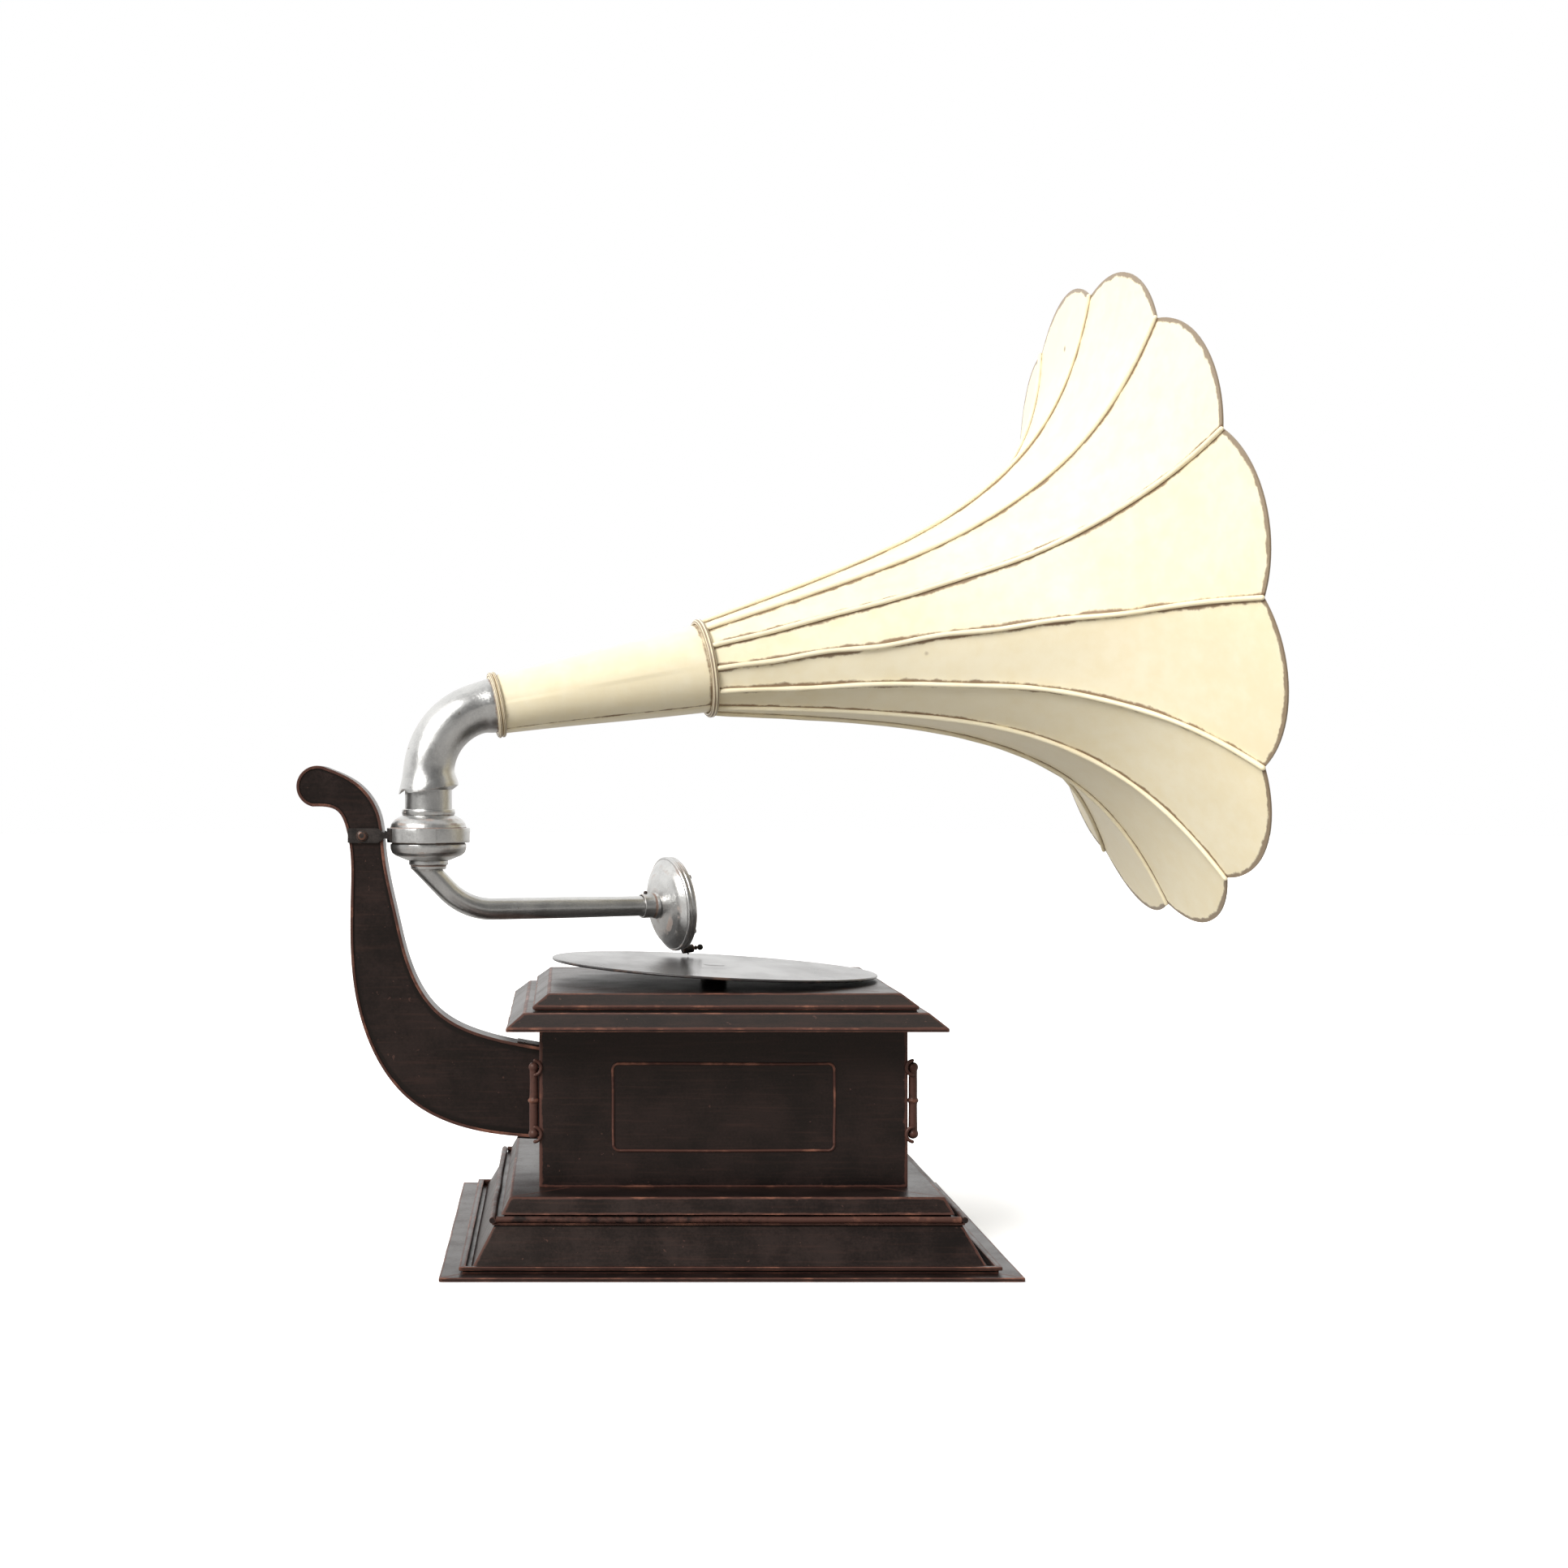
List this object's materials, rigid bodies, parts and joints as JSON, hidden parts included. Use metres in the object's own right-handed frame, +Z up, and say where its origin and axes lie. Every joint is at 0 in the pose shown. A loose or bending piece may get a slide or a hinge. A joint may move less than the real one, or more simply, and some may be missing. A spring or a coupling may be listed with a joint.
{
  "type": "horn gramophone display model",
  "caption": "Sheet metal model of a horn gramophone: square cabinet, leaning record disc, swinging tone arm and a petalled horn on a swivelling elbow.",
  "frame": {"origin": "middle of the underside of the square plinth", "axes": "+Z up; +X towards the open mouth of the horn; -Y is the front of the cabinet"},
  "size_m": [0.3254, 0.2435, 0.3339],
  "materials": {
    "brown_black_lacquer": "brown-black lacquer on tin, semi-gloss, rubbed to copper brown along the edges",
    "cream_enamel": "cream enamel with brown antiquing along the ribs and rim",
    "silver_paint": "silver paint, satin, with rust in the joints",
    "record_black": "smooth glossy black paint on a plain tin disc",
    "dark_steel": "blackened steel, satin",
    "bright_steel": "plain steel, slightly dull",
    "diaphragm_foil": "thin matt sheet"
  },
  "bodies": {
    "cabinet": {"base_plate": "brown_black_lacquer", "plinth_hem": "brown_black_lacquer", "plinth_lower_skirt": "brown_black_lacquer", "plinth_edge_rods": "brown_black_lacquer", "plinth_upper_skirt": "brown_black_lacquer", "front_wall": "brown_black_lacquer", "back_wall": "brown_black_lacquer", "left_wall": "brown_black_lacquer", "right_wall": "brown_black_lacquer", "panel_beads": "brown_black_lacquer", "left_handle": "brown_black_lacquer", "right_handle": "brown_black_lacquer", "handle_eyes": "brown_black_lacquer", "lid_lower_moulding": "brown_black_lacquer", "lid_upper_moulding": "brown_black_lacquer", "pivot_spacer": "bright_steel", "pivot_screw": "bright_steel", "hex_nuts": "bright_steel", "arm_edge_strip": "brown_black_lacquer", "arm_front_plate": "brown_black_lacquer", "arm_back_plate": "brown_black_lacquer", "arm_root_tabs": "brown_black_lacquer", "strap_clamp": "silver_paint", "strap_screw": "dark_steel", "band_overlap_plate": "silver_paint", "union_upper_cup": "silver_paint", "union_top_ring": "silver_paint", "neck_tube": "silver_paint"},
    "turntable": {"turntable_disc": "record_black", "disc_hub": "bright_steel"},
    "tonearm": {"union_lower_cup": "silver_paint", "union_lower_collar": "silver_paint", "tonearm_tube": "silver_paint"},
    "soundbox": {"soundbox_sleeve": "silver_paint", "sleeve_screw": "dark_steel", "soundbox_dish": "silver_paint", "soundbox_rim_ring": "silver_paint", "diaphragm": "diaphragm_foil", "soundbox_front_ring": "silver_paint", "soundbox_screws": "dark_steel", "needle_bar": "dark_steel", "needle": "bright_steel"},
    "thumbscrew": {"needle_thumbscrew": "dark_steel"},
    "horn": {"elbow_tube": "silver_paint", "horn_collar_ring": "cream_enamel", "horn_throat_cone": "cream_enamel", "horn_mid_ring": "cream_enamel", "horn_ribs": "cream_enamel", "horn_petal_01": "cream_enamel", "horn_petal_02": "cream_enamel", "horn_petal_03": "cream_enamel", "horn_petal_04": "cream_enamel", "horn_petal_05": "cream_enamel", "horn_petal_06": "cream_enamel", "horn_petal_07": "cream_enamel", "horn_petal_08": "cream_enamel", "horn_petal_09": "cream_enamel", "horn_petal_10": "cream_enamel", "horn_petal_11": "cream_enamel", "horn_petal_12": "cream_enamel"}
  },
  "joints": [
    {"name": "turntable_spin", "type": "hinge", "parent": "cabinet", "child": "turntable", "pos_m": [0, 0, 0.0905], "axis": [0.0523, 0, 0.9986], "continuous": true},
    {"name": "horn_swivel", "type": "hinge", "parent": "cabinet", "child": "horn", "pos_m": [-0.0986, 0, 0.154], "axis": [0, 0, 1], "continuous": true},
    {"name": "tonearm_swing", "type": "hinge", "parent": "cabinet", "child": "tonearm", "pos_m": [-0.0986, 0, 0.131], "axis": [0, 0, 1], "range_deg": [-18, 38]},
    {"name": "soundbox_turn", "type": "hinge", "parent": "tonearm", "child": "soundbox", "pos_m": [-0.02424, 0.03004, 0.1098], "axis": [0.9272, 0.3746, 0], "range_deg": [0, 180]},
    {"name": "thumbscrew_turn", "type": "hinge", "parent": "soundbox", "child": "thumbscrew", "pos_m": [-0.00536, 0.03767, 0.09421], "axis": [0.9221, 0.3726, 0.1045], "continuous": true}
  ]
}
